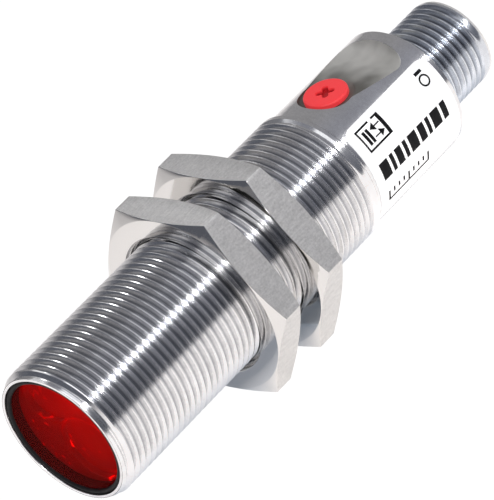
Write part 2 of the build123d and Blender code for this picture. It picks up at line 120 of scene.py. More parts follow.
# plug
PLUG_CREST_R = 5.87
PLUG_DEPTH = 0.6
PLUG_COLLAR = 0.55
PLUG_TAPER = (0.9, 0.35, 0.07)  # from and to, before the end, and how much the radius loses
PLUG_RUNOUT = 0.25  # turns
PLUG_EDGE = ((0.07, 0.35), (0.16, 0.12), (0.35, 0.0))  # loss of radius, distance before the end
PLUG_BORE_BEVEL = (0.2, 0.3)
PLUG_GAP = 0.02
PLUG_BORE_R = 4.425
PLUG_REAR_SEAT_R = 5.2
PLUG_STEP = 61.6
PLUG_COLUMNS = 144

# label
LABEL_FROM = 40.3
LABEL_TO = 200.0
LABEL_CORNER = 1.4
LABEL_R = SMOOTH_R + 0.005
LABEL_THICK = 0.08
PRINT_THICK = 0.012

# ---------------------------------------------------------------- mesh helpers


def at_angle(radius, y, degrees):
    """A point in millimetres at an angle from +Z towards +X."""
    angle = math.radians(degrees)
    return Vector((radius * math.sin(angle), y, radius * math.cos(angle)))


def add_object(name, data):
    """A new object in the scene around a mesh, a light or a camera."""
    made = bpy.data.objects.new(name, data)
    bpy.context.scene.collection.objects.link(made)
    return made


def make_object(name, vertices, faces, smooth_angle=30.0):
    """A mesh object from millimetre vertices, welded, with consistent normals and crease shading."""
    mesh = bpy.data.meshes.new(name)
    mesh.from_pydata([tuple(v * MM) for v in vertices], [], faces)
    tidy(mesh)
    shade(mesh, smooth_angle)
    return add_object(name, mesh)


def tidy(mesh):
    work = bmesh.new()
    work.from_mesh(mesh)
    bmesh.ops.remove_doubles(work, verts=work.verts, dist=2e-6)
    bmesh.ops.dissolve_degenerate(work, edges=work.edges, dist=1e-6)
    bmesh.ops.recalc_face_normals(work, faces=work.faces)
    work.to_mesh(mesh)
    work.free()


def shade(mesh, smooth_angle):
    mesh.polygons.foreach_set("use_smooth", [True] * len(mesh.polygons))
    mesh.set_sharp_from_angle(angle=math.radians(smooth_angle))
    mesh.update()


def grid_faces(row_count, column_count, close_rows):
    """Quads of a grid whose columns wrap round; close_rows joins the last row to the first."""
    faces = []
    rows = row_count if close_rows else row_count - 1
    for row in range(rows):
        above = (row + 1) % row_count
        for column in range(column_count):
            beside = (column + 1) % column_count
            faces.append(
                (
                    row * column_count + column,
                    row * column_count + beside,
                    above * column_count + beside,
                    above * column_count + column,
                )
            )
    return faces


def turned(name, outline, columns=COLUMNS, smooth_angle=30.0, close=True):
    """A piece of revolution about the barrel's axis from a (radius, y) outline."""
    vertices = []
    for radius, y in outline:
        for column in range(columns):
            vertices.append(at_angle(radius, y, 360 * column / columns))
    return make_object(name, vertices, grid_faces(len(outline), columns, close), smooth_angle)


def apply_modifiers(piece):
    """Bakes the piece's modifiers into its mesh."""
    graph = bpy.context.evaluated_depsgraph_get()
    baked = bpy.data.meshes.new_from_object(piece.evaluated_get(graph))
    piece.modifiers.clear()
    piece.data = baked


def carve(piece, cutter):
    """Takes the cutter's volume out of the piece."""
    cut = piece.modifiers.new("cut", "BOOLEAN")
    cut.object = cutter
    cut.operation = "DIFFERENCE"
    cut.solver = "EXACT"
    apply_modifiers(piece)
    bpy.data.objects.remove(cutter)


def bevel_edges(piece, width, angle, segments=2):
    """Rounds the edges sharper than the angle; width in millimetres."""
    rounding = piece.modifiers.new("rounding", "BEVEL")
    rounding.width = width * MM
    rounding.segments = segments
    rounding.limit_method = "ANGLE"
    rounding.angle_limit = math.radians(angle)
    rounding.miter_outer = "MITER_ARC"
    apply_modifiers(piece)


def join(target, other):
    """Adds another piece's mesh to the target's and welds the seam."""
    work = bmesh.new()
    work.from_mesh(target.data)
    work.from_mesh(other.data)
    work.to_mesh(target.data)
    work.free()
    bpy.data.objects.remove(other)
    tidy(target.data)


def drop_faces(piece, unwanted):
    """Deletes the faces whose vertices all satisfy the test, given in millimetres."""
    work = bmesh.new()
    work.from_mesh(piece.data)
    faces = [f for f in work.faces if all(unwanted(v.co / MM) for v in f.verts)]
    bmesh.ops.delete(work, geom=faces, context="FACES")
    work.to_mesh(piece.data)
    work.free()


# ---------------------------------------------------------------- threads

# one pitch of a 60 degree thread with flat, lightly rounded crest and root:
# (share of the pitch, share of the depth)
THREAD_PROFILE = (
    (-0.085, 0.03),
    (-0.055, 0.0),
    (0.055, 0.0),
    (0.085, 0.03),
    (0.405, 0.97),
    (0.435, 1.0),
    (0.565, 1.0),
    (0.595, 0.97),
)
THREAD_SMOOTH_ANGLE = 20.0  # keeps the flanks flat


def thread_rows(crest, depth, start, end, limit, columns, runout):
    """Rows of a right-handed helical thread between two planes; limit(y) is the largest radius there."""
    turns = int((end - start) / PITCH) + 3
    vertices = []
    rows = 0
    for turn in range(-2, turns):
        for share, fall in THREAD_PROFILE:
            for column in range(columns + 1):
                around = column / columns
                y = start + (turn + share + around) * PITCH
                groove_turn = turn + around + (1.0 if share > 0.3 else 0.0)
                left = (end - start) / PITCH - groove_turn
                fade = min(1.0, max(0.0, left / runout)) if runout else 1.0
                fade = fade * fade * (3 - 2 * fade)
                y = min(end, max(start, y))
                radius = min(crest - depth * fall * fade, limit(y))
                vertices.append(at_angle(radius, y, 360 * around))
            rows += 1
    return vertices, rows


def open_grid(row_count, column_count, offset):
    """Quads of a grid that isn't wrapped; its side columns weld to each other later."""
    faces = []
    for row in range(row_count - 1):
        for column in range(column_count - 1):
            first = offset + row * column_count + column
            second = offset + (row + 1) * column_count + column
            faces.append((first, first + 1, second + 1, second))
    return faces


def threaded_tube(name, thread, before, after, columns, smooth_angle=30.0):
    """A tube with a helical thread outside. before and after are the (radius, y) outlines that lead
    to the thread's start and away from its end, and together close the section."""
    vertices, rows = thread
    vertices = list(vertices)
    faces = open_grid(rows, columns + 1, 0)
    for outline in (before, after):
        offset = len(vertices)
        for radius, y in outline:
            for column in range(columns + 1):
                vertices.append(at_angle(radius, y, 360 * column / columns))
        faces += open_grid(len(outline), columns + 1, offset)
    return make_object(name, vertices, faces, smooth_angle)


# ---------------------------------------------------------------- barrel


def ramp_height(y):
    return RAMP_Z - RAMP_DROP * (y - RAMP_Y)


def prism_along_x(name, outline, half_width):
    """A closed prism across the barrel from a (y, z) outline."""
    count = len(outline)
    vertices = [Vector((side * half_width, y, z)) for side in (-1, 1) for y, z in outline]
    faces = [tuple(range(count)), tuple(range(count, 2 * count))]
    for index in range(count):
        after = (index + 1) % count
        faces.append((index, after, count + after, count + index))
    return make_object(name, vertices, faces)


def upright_disc(name, radius, bottom, top, columns=96):
    """A closed cylinder along Z on the adjuster's axis."""
    vertices = []
    for level in (bottom, top):
        for column in range(columns):
            angle = 2 * math.pi * column / columns
            vertices.append(Vector((radius * math.cos(angle), KNOB_Y + radius * math.sin(angle), level)))
    faces = grid_faces(2, columns, False)
    faces.append(tuple(range(columns)))
    faces.append(tuple(range(columns, 2 * columns)))
    return make_object(name, vertices, faces)


def ramp_cutter():
    """The ramp behind the pocket's middle, with its run-out fillet."""
    above = SMOOTH_R + 2.0
    # the fillet starts tangent to the ramp
    tangent = math.atan(RAMP_DROP)
    low = ramp_height(RAMP_END - SCOOP_R * math.sin(tangent)) - SCOOP_R * (1 - math.cos(tangent))
    outline = [(KNOB_Y, above), (KNOB_Y, ramp_height(KNOB_Y))]
    steps = 24
    for step in range(steps + 1):
        angle = (math.pi / 2 + tangent) * step / steps - tangent
        outline.append((RAMP_END + SCOOP_R * math.sin(angle), low + SCOOP_R * (1 - math.cos(angle))))
    outline.append((RAMP_END + SCOOP_R, above))
    return prism_along_x("ramp_cutter", outline, 2 * SMOOTH_R)


def smooth_section():
    """The unthreaded rear of the barrel as a closed tube, with the flat and the pocket cut into it."""
    start = THREAD_END + CREST_R - SMOOTH_R
    outline = [
        (REAR_BORE_R, start),
        (SMOOTH_R, start),
        (SMOOTH_R, SLEEVE_END - REAR_CHAMFER),
        (SMOOTH_R - REAR_CHAMFER, SLEEVE_END),
        (FLANGE_SEAT_R, SLEEVE_END),
        (FLANGE_SEAT_R, SLEEVE_END - FLANGE_SEAT_DEPTH),
        (REAR_BORE_R, SLEEVE_END - FLANGE_SEAT_DEPTH),
    ]
    tube = turned("smooth_section", outline)
    above = SMOOTH_R + 2.0
    carve(tube, ramp_cutter())
    carve(tube, upright_disc("pocket_cutter", POCKET_R, POCKET_FLOOR, above))
    carve(tube, upright_disc("seal_cutter", SEAL_SEAT_R, SEAL_SEAT_FLOOR, above, 64))
    carve(tube, upright_disc("shaft_cutter", KNOB_SHAFT_R + 0.05, 0.0, above, 64))
    drop_faces(tube, lambda point: point.y < start + 0.001)
    return tube


def barrel_limit(y):
    """The lead-in cone at the mouth."""
    if y < THREAD_START:
        return LEAD_R + (CREST_R - LEAD_R) * y / THREAD_START
    return CREST_R


def build_barrel():
    thread = thread_rows(CREST_R, THREAD_DEPTH, 0.0, THREAD_END, barrel_limit, COLUMNS, THREAD_RUNOUT)
    smooth_start = THREAD_END + CREST_R - SMOOTH_R
    before = [
        (LEAD_R, 0.0),
        (MOUTH_EDGE_R, 0.0),
        (MOUTH_R, MOUTH_BEVEL_DEPTH),
        (MOUTH_R, MOUTH_DEPTH),
        (FRONT_BORE_R, MOUTH_DEPTH),
        (FRONT_BORE_R, FRONT_BORE_END),
        (REAR_BORE_R, FRONT_BORE_END),
        (REAR_BORE_R, smooth_start),
    ]
    after = [(CREST_R, THREAD_END), (SMOOTH_R, smooth_start)]
    barrel = threaded_tube("barrel", thread, before, after, COLUMNS)
    join(barrel, smooth_section())
    shade(barrel.data, THREAD_SMOOTH_ANGLE)
    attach(barrel, "sensor_body")
    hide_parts("housing_sleeve")
    return barrel


# ---------------------------------------------------------------- nuts


def build_nut(node, body):
    low, high = box_mm(node)
    front, back = low.y, high.y
    first = NUT_TURNS[node]
    rows = []
    for column in range(COLUMNS):
        angle = 360 * column / COLUMNS
        from_flat = math.radians(angle % 60 - 30)
        hexagon_r = NUT_FLATS / 2 / math.cos(from_flat)
        drop = (hexagon_r - NUT_CHAMFER_R) * NUT_CHAMFER_SLOPE
        sink = NUT_COUNTERSINK_R - NUT_BORE_R
        section = [
            (NUT_BORE_R, front + sink),
            (NUT_COUNTERSINK_R, front),
            (NUT_CHAMFER_R, front),
            (hexagon_r, front + drop),
            (hexagon_r, back - drop),
            (NUT_CHAMFER_R, back),
            (NUT_COUNTERSINK_R, back),
            (NUT_BORE_R, back - sink),
        ]
        rows.append([at_angle(radius, y, first + angle) for radius, y in section])
    levels = len(rows[0])
    vertices = [rows[column][level] for level in range(levels) for column in range(COLUMNS)]
    nut = make_object(node + "_visual", vertices, grid_faces(levels, COLUMNS, True))
    bevel_edges(nut, NUT_EDGE, NUT_EDGE_ANGLE, 3)
    shade(nut.data, NUT_SMOOTH_ANGLE)
    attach(nut, body)
    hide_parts(node)
    return nut


# ---------------------------------------------------------------- adjuster


def build_knob():
    """The red head with a rounded edge and a cross recess, on its shaft."""
    outline = [(0.0, KNOB_TOP), (KNOB_R - KNOB_EDGE, KNOB_TOP)]
    steps = 6
    for step in range(1, steps + 1):
        angle = math.pi / 2 * step / steps
        radius = KNOB_R - KNOB_EDGE + KNOB_EDGE * math.sin(angle)
        outline.append((radius, KNOB_TOP - KNOB_EDGE * (1 - math.cos(angle))))
    under = KNOB_TOP - KNOB_HEAD_H
    outline += [(KNOB_R, under), (KNOB_SHAFT_R, under), (KNOB_SHAFT_R, KNOB_LOW.z), (0.0, KNOB_LOW.z)]
    columns = 96
    vertices = []
    for radius, z in outline:
        for column in range(columns):
            angle = 2 * math.pi * column / columns
            vertices.append(Vector((radius * math.cos(angle), KNOB_Y + radius * math.sin(angle), z)))
    knob = make_object("adjuster", vertices, grid_faces(len(outline), columns, False), 25.0)
    for turn in (CROSS_ANGLE, CROSS_ANGLE + 90):
        carve(knob, cross_slot(turn))
    tidy(knob.data)
    shade(knob.data, 25.0)
    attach(knob, "adjuster")
    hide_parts("adjuster_knob")
    return knob


def cross_slot(turn):
    """One arm of the recess: a slot with round ends and slightly sloping walls."""
    half_length, half_width, slope = 1.2, 0.42, 0.12
    steps = 10
    levels = ((KNOB_TOP - CROSS_DEPTH, -slope), (KNOB_TOP + 0.2, slope * 0.4))
    vertices = []
    for z, grow in levels:
        reach = half_length - half_width
        for side in (1, -1):
            for step in range(steps + 1):
                angle = math.pi * step / steps - math.pi / 2
                along = side * (reach + (half_width + grow) * math.cos(angle))
                across = side * (half_width + grow) * math.sin(angle)
                vertices.append(Vector((along, across, z)))
    count = 2 * (steps + 1)
    faces = grid_faces(2, count, False)
    faces.append(tuple(range(count)))
    faces.append(tuple(range(count, 2 * count)))
    place = Matrix.Translation((0, KNOB_Y, 0)) @ Matrix.Rotation(math.radians(turn), 4, "Z")
    return make_object("cross_cutter", [place @ v for v in vertices], faces)


# ---------------------------------------------------------------- window and seal


def build_window():
    back = WINDOW_HIGH.y
    face = WINDOW_LOW.y
    outer = WINDOW_HIGH.x
    bevel = 0.14
    outline = [
        (0.0, face),
        (outer - bevel, face),
        (outer, face + bevel),
        (outer, back - 0.05),
        (outer - 0.05, back),
        (0.0, back),
    ]
    window = turned("window", outline, smooth_angle=25.0, close=False)
    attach(window, "sensor_body")
    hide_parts("front_window")
    return window


# ---------------------------------------------------------------- plug


def plug_limit(y):
    """The crest radius, which eases down a little towards the bevel at the end."""
    first, last, loss = PLUG_TAPER
    share = (y - (PLUG_HIGH.y - first)) / (first - last)
    return PLUG_CREST_R - loss * min(1.0, max(0.0, share))


def build_plug():
    thread_start = SLEEVE_END
    collar_start = PLUG_HIGH.y - PLUG_COLLAR
    thread = thread_rows(
        PLUG_CREST_R, PLUG_DEPTH, thread_start, collar_start, plug_limit, PLUG_COLUMNS, PLUG_RUNOUT
    )
    flange_r = PLUG_HIGH.x
    spigot_r = REAR_BORE_R - PLUG_GAP
    bevel_width, bevel_depth = PLUG_BORE_BEVEL
    before = [
        (PLUG_CREST_R, thread_start),
        (flange_r, SLEEVE_END),
        (flange_r, SLEEVE_END - FLANGE_SEAT_DEPTH),
        (spigot_r, SLEEVE_END - FLANGE_SEAT_DEPTH),
        (spigot_r, PLUG_LOW.y),
        (PLUG_REAR_SEAT_R, PLUG_LOW.y),
        (PLUG_REAR_SEAT_R, PLUG_STEP),
        (PLUG_BORE_R, PLUG_STEP),
        (PLUG_BORE_R, PLUG_HIGH.y - bevel_depth),
    ]
    after = [(plug_limit(collar_start), collar_start)]
    after += [(PLUG_CREST_R - loss, PLUG_HIGH.y - before_end) for loss, before_end in PLUG_EDGE]
    after += [(PLUG_BORE_R + bevel_width, PLUG_HIGH.y), (PLUG_BORE_R, PLUG_HIGH.y - bevel_depth)]
    plug = threaded_tube("plug", thread, before, after, PLUG_COLUMNS, THREAD_SMOOTH_ANGLE)
    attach(plug, "sensor_body")
    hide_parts("plug_shell")
    return plug


# ---------------------------------------------------------------- label


def wrapped(name, outlines, radius, thickness):
    """Thin closed shapes wrapped round the barrel. An outline's points are (degrees, y)."""
    work = bmesh.new()
    arc = math.pi * radius / 180  # millimetres per degree
    for outline in outlines:
        work.faces.new([work.verts.new((degrees * arc, y, 0.0)) for degrees, y in outline])
    low = min(v.co.x for v in work.verts)
    high = max(v.co.x for v in work.verts)
    step = 2.0 * arc
    for index in range(1, int((high - low) / step) + 1):
        geometry = list(work.verts) + list(work.edges) + list(work.faces)
        bmesh.ops.bisect_plane(work, geom=geometry, plane_co=(low + index * step, 0, 0), plane_no=(1, 0, 0))
    bmesh.ops.recalc_face_normals(work, faces=work.faces)
    top = bmesh.ops.extrude_face_region(work, geom=list(work.faces))
    raised = [item for item in top["geom"] if isinstance(item, bmesh.types.BMVert)]
    for vertex in raised:
        vertex.co.z = thickness
    for vertex in work.verts:
        flat = vertex.co.copy()
        vertex.co = at_angle(radius + flat.z, flat.y, flat.x / arc) * MM
    bmesh.ops.recalc_face_normals(work, faces=work.faces)
    mesh = bpy.data.meshes.new(name)
    work.to_mesh(mesh)
    work.free()
    shade(mesh, 30.0)
    return add_object(name, mesh)


def label_outline():
    """The label's rectangle with round corners, as (degrees, y) points."""
    arc = math.pi * LABEL_R / 180
    turn = LABEL_CORNER / arc
    steps = 8
    points = []
    corners = (
        (LABEL_FROM + turn, LABEL_LOW.y + LABEL_CORNER, 180),
        (LABEL_TO - turn, LABEL_LOW.y + LABEL_CORNER, 270),
        (LABEL_TO - turn, LABEL_HIGH.y - LABEL_CORNER, 0),
        (LABEL_FROM + turn, LABEL_HIGH.y - LABEL_CORNER, 90),
    )
    for degrees, y, first in corners:
        for step in range(steps + 1):
            angle = math.radians(first + 90 * step / steps)
            points.append((degrees + turn * math.cos(angle), y + LABEL_CORNER * math.sin(angle)))
    return points


def bar(from_degrees, to_degrees, from_y, to_y):
    return [(from_degrees, from_y), (to_degrees, from_y), (to_degrees, to_y), (from_degrees, to_y)]


def pictogram():
    """A square with a gap on one side, a two-bar lens and two opposite arrows."""
    low, high = 46.0, 66.4
    front, back = 49.75, 54.0
    thin, arc = 0.24, math.pi * LABEL_R / 180
    turn = thin / arc
    gap_low, gap_high = 52.2, 52.8
    shapes = [
        bar(low, high, front, front + thin),
        bar(low, high, back - 2.2 * thin, back),
        bar(high - turn, high, front + thin, back - 2.2 * thin),
        bar(low, low + turn, front + thin, gap_low),
        bar(low, low + turn, gap_high, back - 2.2 * thin),
    ]
    # the lens: two thick bars near the front side
    for from_y in (front + 0.65, front + 1.25):
        shapes.append(bar(low + 4.0, high - 4.0, from_y, from_y + 0.42))
    # arrows: a shaft and a triangular head, one each way
    for middle, head in ((low + 6.6, -1), (high - 6.6, 1)):
        shaft = 0.35 * turn
        tail_y, tip_y = (front + 1.9, front + 3.6) if head > 0 else (front + 3.6, front + 1.9)
        neck = tip_y - head * 0.8
        shapes.append(bar(middle - shaft, middle + shaft, min(tail_y, neck), max(tail_y, neck)))
        shapes.append([(middle - 3.6, neck), (middle, tip_y), (middle + 3.6, neck)])
    return shapes


def heavy_bars():
    """A row of thick bars of varied width in place of a name."""
    widths = (1.5, 0.6, 1.1, 0.6, 1.5, 1.1, 0.6, 1.5, 0.9)
    gap = 0.42
    low, high = 77.5, 92.3
    y = 49.65
    shapes = []
    for width in widths:
        shapes.append(bar(low, high, y, y + width))
        y += width + gap
    return shapes


def fine_ticks():
    """A scale of fine ticks in place of a number."""
    count, start, step, width = 9, 49.8, 0.95, 0.3
    low, line_low, line_high = 104.0, 112.2, 114.2
    shapes = []
    for index in range(count):
        y = start + index * step
        length = 8.2 if index % 4 == 0 else 4.6
        shapes.append(bar(low, low + length, y, y + width))
    shapes.append(bar(line_low, line_high, start, start + (count - 1) * step + width))
    return shapes


def small_mark():
    """A ring and a dash near the plug."""
    arc = math.pi * LABEL_R / 180
    shapes = []
    steps = 20
    centre_degrees, centre_y, outer, inner = 56.0, 61.9, 0.78, 0.55
    for step in range(steps):
        quad = []
        for radius, index in ((outer, step), (outer, step + 1), (inner, step + 1), (inner, step)):
            angle = 2 * math.pi * index / steps
            degrees = centre_degrees + radius * math.cos(angle) / arc
            quad.append((degrees, centre_y + radius * math.sin(angle)))
        shapes.append(quad)
    shapes.append(bar(46.6, 49.4, 61.3, 62.5))
    return shapes


def build_label():
    label = wrapped("label", [label_outline()], LABEL_R, LABEL_THICK)
    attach(label, "sensor_body")
    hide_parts("type_label")
    shapes = pictogram() + heavy_bars() + fine_ticks() + small_mark()
    ink = wrapped("label_print", shapes, LABEL_R + LABEL_THICK, PRINT_THICK)
    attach(ink, "sensor_body")
    return label, ink


# ---------------------------------------------------------------- materials

FLAT_METALLIC = 0.5
# colours of the painted shade at the bottom of the threads, on the barrel and on the plug
ROOT_SHADE_COLOUR = (0.33, 0.34, 0.37)
PLUG_ROOT_SHADE_COLOUR = (0.16, 0.17, 0.20)
# strength of the painted glints behind the filter
SPARK_GLOW = 0.7
# tones of the milled surfaces: painted shade and the painted light of a reflection
MILLED_PAINTED_SHADE = (0.20, 0.195, 0.175)
MILLED_PAINTED_LIGHT = (0.72, 0.71, 0.67)
MILLED_ROUGHNESS = 0.62
MILLED_METALLIC = 0.55
COLLAR_COLOUR = (0.86, 0.85, 0.83)
COLLAR_ROUGHNESS = 0.35
COLLAR_METALLIC = 0.35


class Surface:
    """A Principled material with a few shorthands for wiring procedural detail."""

    def __init__(self, name, colour, roughness, metallic=0.0):
        self.material = bpy.data.materials.new(name)
        self.material.use_nodes = True
        self.tree = self.material.node_tree
        self.shader = self.tree.nodes["Principled BSDF"]
        self.shader.inputs["Base Color"].default_value = (*colour, 1.0)
        self.shader.inputs["Roughness"].default_value = roughness
        self.shader.inputs["Metallic"].default_value = metallic
        self.place = self.tree.nodes.new("ShaderNodeTexCoord").outputs["Object"]

    def node(self, kind, **settings):
        made = self.tree.nodes.new(kind)
        for key, value in settings.items():
            setattr(made, key, value)
        return made

    def wire(self, source, target):
        self.tree.links.new(source, target)

    def feed(self, socket, value):
        """Gives an input a colour, a number or another node's output."""
        if isinstance(value, tuple):
            socket.default_value = (*value, 1.0)
        elif isinstance(value, (int, float)):
            socket.default_value = value
        else:
            self.wire(value, socket)

    def put(self, name, value):
        """Feeds one of the shader's own inputs."""
        self.feed(self.shader.inputs[name], value)

    def current(self, name):
        """What is wired to a shader input now."""
        return self.shader.inputs[name].links[0].from_socket

    def mm(self):
        """The position as x, y and z in millimetres."""
        return self.parts(self.scaled((1000, 1000, 1000)))

    def distance_mm(self, centre, axes="XY"):
        """Millimetres from a line through the centre, square to the two named axes."""
        parts = self.mm()
        places = dict(zip("XYZ", parts))
        squares = []
        for axis, middle in zip(axes, centre):
            apart = self.maths("ADD", places[axis], -middle)
            squares.append(self.maths("MULTIPLY", apart, apart))
        return self.maths("SQRT", self.maths("ADD", *squares))

    def maths(self, operation, first, second=0.0):
        made = self.node("ShaderNodeMath", operation=operation)
        for socket, value in zip(made.inputs, (first, second)):
            self.feed(socket, value)
        return made.outputs[0]

    def parts(self, vector=None):
        made = self.node("ShaderNodeSeparateXYZ")
        self.wire(vector or self.place, made.inputs[0])
        return made.outputs

    def combine(self, x, y, z):
        made = self.node("ShaderNodeCombineXYZ")
        for socket, value in zip(made.inputs, (x, y, z)):
            self.feed(socket, value)
        return made.outputs[0]

    def scaled(self, factors):
        """The position times a factor per axis; 1000 gives millimetres."""
        made = self.node("ShaderNodeMapping")
        made.inputs["Scale"].default_value = factors
        self.wire(self.place, made.inputs["Vector"])
        return made.outputs[0]

    def noise(self, vector, scale, detail=3.0, roughness=0.5):
        made = self.node("ShaderNodeTexNoise")
        made.inputs["Scale"].default_value = scale
        made.inputs["Detail"].default_value = detail
        made.inputs["Roughness"].default_value = roughness
        self.wire(vector, made.inputs["Vector"])
        return made.outputs["Fac"]

    def ramp(self, value, low, high, to_low, to_high):
        made = self.node("ShaderNodeMapRange")
        self.wire(value, made.inputs["Value"])
        for name, number in (("From Min", low), ("From Max", high), ("To Min", to_low), ("To Max", to_high)):
            made.inputs[name].default_value = number
        return made.outputs["Result"]

    def between(self, data_type, factor, first, second):
        made = self.node("ShaderNodeMix", data_type=data_type)
        self.wire(factor, made.inputs["Factor"])
        self.feed(made.inputs["A"], first)
        self.feed(made.inputs["B"], second)
        return made.outputs["Result"]

    def mix(self, factor, first, second):
        """A colour between two colours."""
        return self.between("RGBA", factor, first, second)

    def blend(self, factor, first, second):
        """A number between two numbers."""
        return self.between("FLOAT", factor, first, second)

    def bump(self, height, strength, distance_mm):
        made = self.node("ShaderNodeBump")
        made.inputs["Strength"].default_value = strength
        made.inputs["Distance"].default_value = distance_mm * MM
        self.wire(height, made.inputs["Height"])
        self.wire(made.outputs["Normal"], self.shader.inputs["Normal"])

    def radius_mm(self):
        """Distance from the barrel's axis, in millimetres."""
        x, _, z = self.parts()
        square = self.maths("ADD", self.maths("MULTIPLY", x, x), self.maths("MULTIPLY", z, z))
        return self.maths("MULTIPLY", self.maths("SQRT", square), 1000.0)


def turned_metal(name, colour, roughness, crest, depth, start, end, root_shade_colour=ROOT_SHADE_COLOUR):
    """Lathe-turned metal with a thread from start to end: fine rings, faint blotches, a few specks and
    painted shade in the grooves.
    """
    surface = Surface(name, colour, roughness, 1.0)
    rings = surface.noise(surface.scaled((60, 9000, 60)), 1.0, 4.0, 0.6)
    blotches = surface.noise(surface.scaled((350, 350, 350)), 1.0, 2.0)
    specks = surface.noise(surface.scaled((5200, 5200, 5200)), 1.0, 2.0)
    speckle = surface.noise(surface.scaled((2600, 2600, 2600)), 1.0, 4.0, 0.8)
    patchy = surface.maths(
        "ADD", surface.maths("MULTIPLY", blotches, 0.5), surface.maths("MULTIPLY", speckle, 0.5)
    )
    tone = surface.mix(surface.ramp(patchy, 0.38, 0.62, 0.0, 1.0), tuple(c * 0.84 for c in colour), colour)
    # painted shade at the bottom of the thread: the grooves are darkened by radius
    low = surface.ramp(surface.radius_mm(), crest - depth, crest - 0.45 * depth, 1.0, 0.0)
    _, along, up = surface.mm()
    # the painted groove shade is weaker on the lower sides, which face the pale floor
    low = surface.maths("MULTIPLY", low, surface.ramp(up, 0.15 * crest, 0.45 * crest, 0.45, 1.0))
    # root: the painted groove shade, kept to the threaded length
    root = surface.maths("MULTIPLY", low, surface.ramp(along, start, start + 0.01, 0.0, 1.0))
    root = surface.maths("MULTIPLY", root, surface.ramp(along, end, end + 0.01, 1.0, 0.0))
    surface.put("Base Color", surface.mix(root, tone, root_shade_colour))
    rough = surface.ramp(rings, 0.25, 0.75, roughness * 0.85, roughness * 1.2)
    surface.put("Roughness", rough)
    height = surface.maths("ADD", rings, surface.maths("MULTIPLY", specks, 0.35))
    surface.bump(height, 0.25, 0.004)
    return surface


def barrel_metal(name, colour, roughness):
    """Turned metal, with the milled flat, its run-out and the pocket in a satin, slightly olive finish, with
    painted shade near the knob and a painted reflection that grows lighter towards the run-out and to the
    left.
    """
    surface = turned_metal(name, colour, roughness, CREST_R, THREAD_DEPTH, THREAD_START, THREAD_END)
    # the milled surfaces lie inside the barrel's radius, on top of the rear section
    inside = surface.ramp(surface.radius_mm(), SMOOTH_R - 0.03, SMOOTH_R - 0.01, 1.0, 0.0)
    sideways, along, up = surface.mm()
    rear = surface.ramp(along, THREAD_END + 0.7, THREAD_END + 0.8, 0.0, 1.0)
    on_top = surface.ramp(up, 5.0, 5.2, 0.0, 1.0)
    milled = surface.maths("MULTIPLY", inside, surface.maths("MULTIPLY", rear, on_top))
    # painted reflection on the milled surfaces: painted shade near the knob, lighter towards the run-out and
    # to the left, with clouds
    clouds = surface.noise(surface.scaled((300, 260, 300)), 1.0, 2.0, 0.5)
    shade_near_knob = surface.ramp(along, KNOB_Y + 1.0, RAMP_END, -0.05, 0.92)
    light_to_left = surface.ramp(sideways, -4.0, 4.0, 0.12, -0.12)
    cloudy = surface.ramp(clouds, 0.3, 0.7, -0.3, 0.3)
    share = surface.maths("ADD", surface.maths("ADD", shade_near_knob, light_to_left), cloudy)
    satin = surface.mix(surface.ramp(share, 0.0, 1.0, 0.0, 1.0), MILLED_PAINTED_SHADE, MILLED_PAINTED_LIGHT)
    turned_tone, turned_rough = surface.current("Base Color"), surface.current("Roughness")
    surface.put("Base Color", surface.mix(milled, turned_tone, satin))
    surface.put("Roughness", surface.blend(milled, turned_rough, MILLED_ROUGHNESS))
    surface.put("Metallic", surface.blend(milled, 1.0, MILLED_METALLIC))
    return surface


def plug_metal(name, colour, roughness):
    """Turned metal, with the plain collar at the plug's end faced to a pale satin finish."""
    collar_start = PLUG_HIGH.y - PLUG_COLLAR
    surface = turned_metal(
        name, colour, roughness, PLUG_CREST_R, PLUG_DEPTH, SLEEVE_END, collar_start, PLUG_ROOT_SHADE_COLOUR
    )
    _, along, _ = surface.mm()
    faced = surface.ramp(along, collar_start, collar_start + 0.12, 0.0, 1.0)
    turned_tone, turned_rough = surface.current("Base Color"), surface.current("Roughness")
    surface.put("Base Color", surface.mix(faced, turned_tone, COLLAR_COLOUR))
    surface.put("Roughness", surface.blend(faced, turned_rough, COLLAR_ROUGHNESS))
    surface.put("Metallic", surface.blend(faced, 1.0, COLLAR_METALLIC))
    return surface


def nut_metal(name, colour):
    """Turned faces with fine rings, and grainy ground flats with short scratches along the barrel."""
    surface = Surface(name, colour, 0.2, 1.0)
    radius = surface.radius_mm()
    rings = surface.noise(surface.combine(radius, 0.0, 0.0), 9.0, 4.0, 0.6)
    grain = surface.noise(surface.scaled((4200, 3400, 4200)), 1.0, 4.0, 0.75)
    scratches = surface.noise(surface.scaled((3600, 620, 3600)), 1.0, 3.0, 0.7)
    normal = surface.node("ShaderNodeNewGeometry").outputs["Normal"]
    axial = surface.maths("ABSOLUTE", surface.parts(normal)["Y"])
    is_face = surface.ramp(axial, 0.3, 0.6, 0.0, 1.0)
    rough_grain = surface.ramp(grain, 0.3, 0.7, 0.30, 0.44)
    rough_face = surface.ramp(rings, 0.3, 0.7, 0.06, 0.11)
    surface.put("Roughness", surface.blend(is_face, rough_grain, rough_face))
    surface.put("Metallic", surface.ramp(axial, 0.3, 0.6, FLAT_METALLIC, 1.0))
    dark = tuple(c * 0.70 for c in colour)
    light = tuple(min(1.0, c * 1.08) for c in colour)
    worn = surface.maths(
        "ADD", surface.maths("MULTIPLY", grain, 0.6), surface.maths("MULTIPLY", scratches, 0.4)
    )
    flats = surface.mix(surface.ramp(worn, 0.35, 0.65, 0.0, 1.0), dark, light)
    surface.put("Base Color", surface.mix(is_face, flats, colour))
    rough_height = surface.maths("ADD", surface.maths("MULTIPLY", grain, 1.6), scratches)
    fine_height = surface.maths("MULTIPLY", rings, 0.12)
    surface.bump(surface.blend(is_face, rough_height, fine_height), 0.5, 0.009)
    return surface.material


